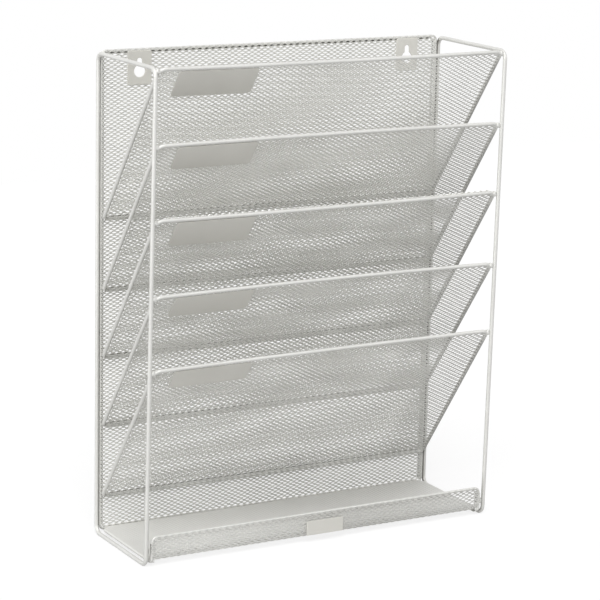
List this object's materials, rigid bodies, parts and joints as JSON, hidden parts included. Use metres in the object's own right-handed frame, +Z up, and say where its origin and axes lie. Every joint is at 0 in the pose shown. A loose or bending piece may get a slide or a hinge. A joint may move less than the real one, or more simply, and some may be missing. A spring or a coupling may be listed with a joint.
{
  "type": "wall file organizer",
  "caption": "Wall-hung file organizer of welded wire and expanded mesh, with slanting pockets one above the other and a lipped shelf at the foot.",
  "frame": {"origin": "under the middle of the overall box, on the plane that the side loops stand on", "axes": "+X to the right of a person who faces the organizer, +Y towards the wall, +Z up"},
  "size_m": [0.3298, 0.1083, 0.4111],
  "materials": {
    "wire_paint": "satin silver-grey paint on round wire",
    "mesh_paint": "satin silver-grey paint on expanded mesh",
    "plate_paint": "smooth satin silver-grey paint on flat sheet"
  },
  "bodies": {
    "root": {"side_loop_left": "wire_paint", "side_loop_right": "wire_paint", "back_panel_frame": "wire_paint", "back_panel_mesh": "mesh_paint", "hanger_plate_left": "plate_paint", "hanger_plate_right": "plate_paint", "pocket_1_frame": "wire_paint", "pocket_1_mesh": "mesh_paint", "pocket_1_label_plate": "plate_paint", "pocket_1_weld_left": "wire_paint", "pocket_1_weld_right": "wire_paint", "pocket_2_frame": "wire_paint", "pocket_2_mesh": "mesh_paint", "pocket_2_label_plate": "plate_paint", "pocket_2_weld_left": "wire_paint", "pocket_2_weld_right": "wire_paint", "pocket_3_frame": "wire_paint", "pocket_3_mesh": "mesh_paint", "pocket_3_label_plate": "plate_paint", "pocket_3_weld_left": "wire_paint", "pocket_3_weld_right": "wire_paint", "pocket_4_frame": "wire_paint", "pocket_4_mesh": "mesh_paint", "pocket_4_label_plate": "plate_paint", "pocket_4_weld_left": "wire_paint", "pocket_4_weld_right": "wire_paint", "pocket_5_frame": "wire_paint", "pocket_5_mesh": "mesh_paint", "pocket_5_label_plate": "plate_paint", "pocket_5_weld_left": "wire_paint", "pocket_5_weld_right": "wire_paint", "shelf_frame": "wire_paint", "shelf_mesh": "mesh_paint", "lip_weld_left": "wire_paint", "lip_weld_right": "wire_paint", "name_plate": "plate_paint"}
  },
  "joints": []
}
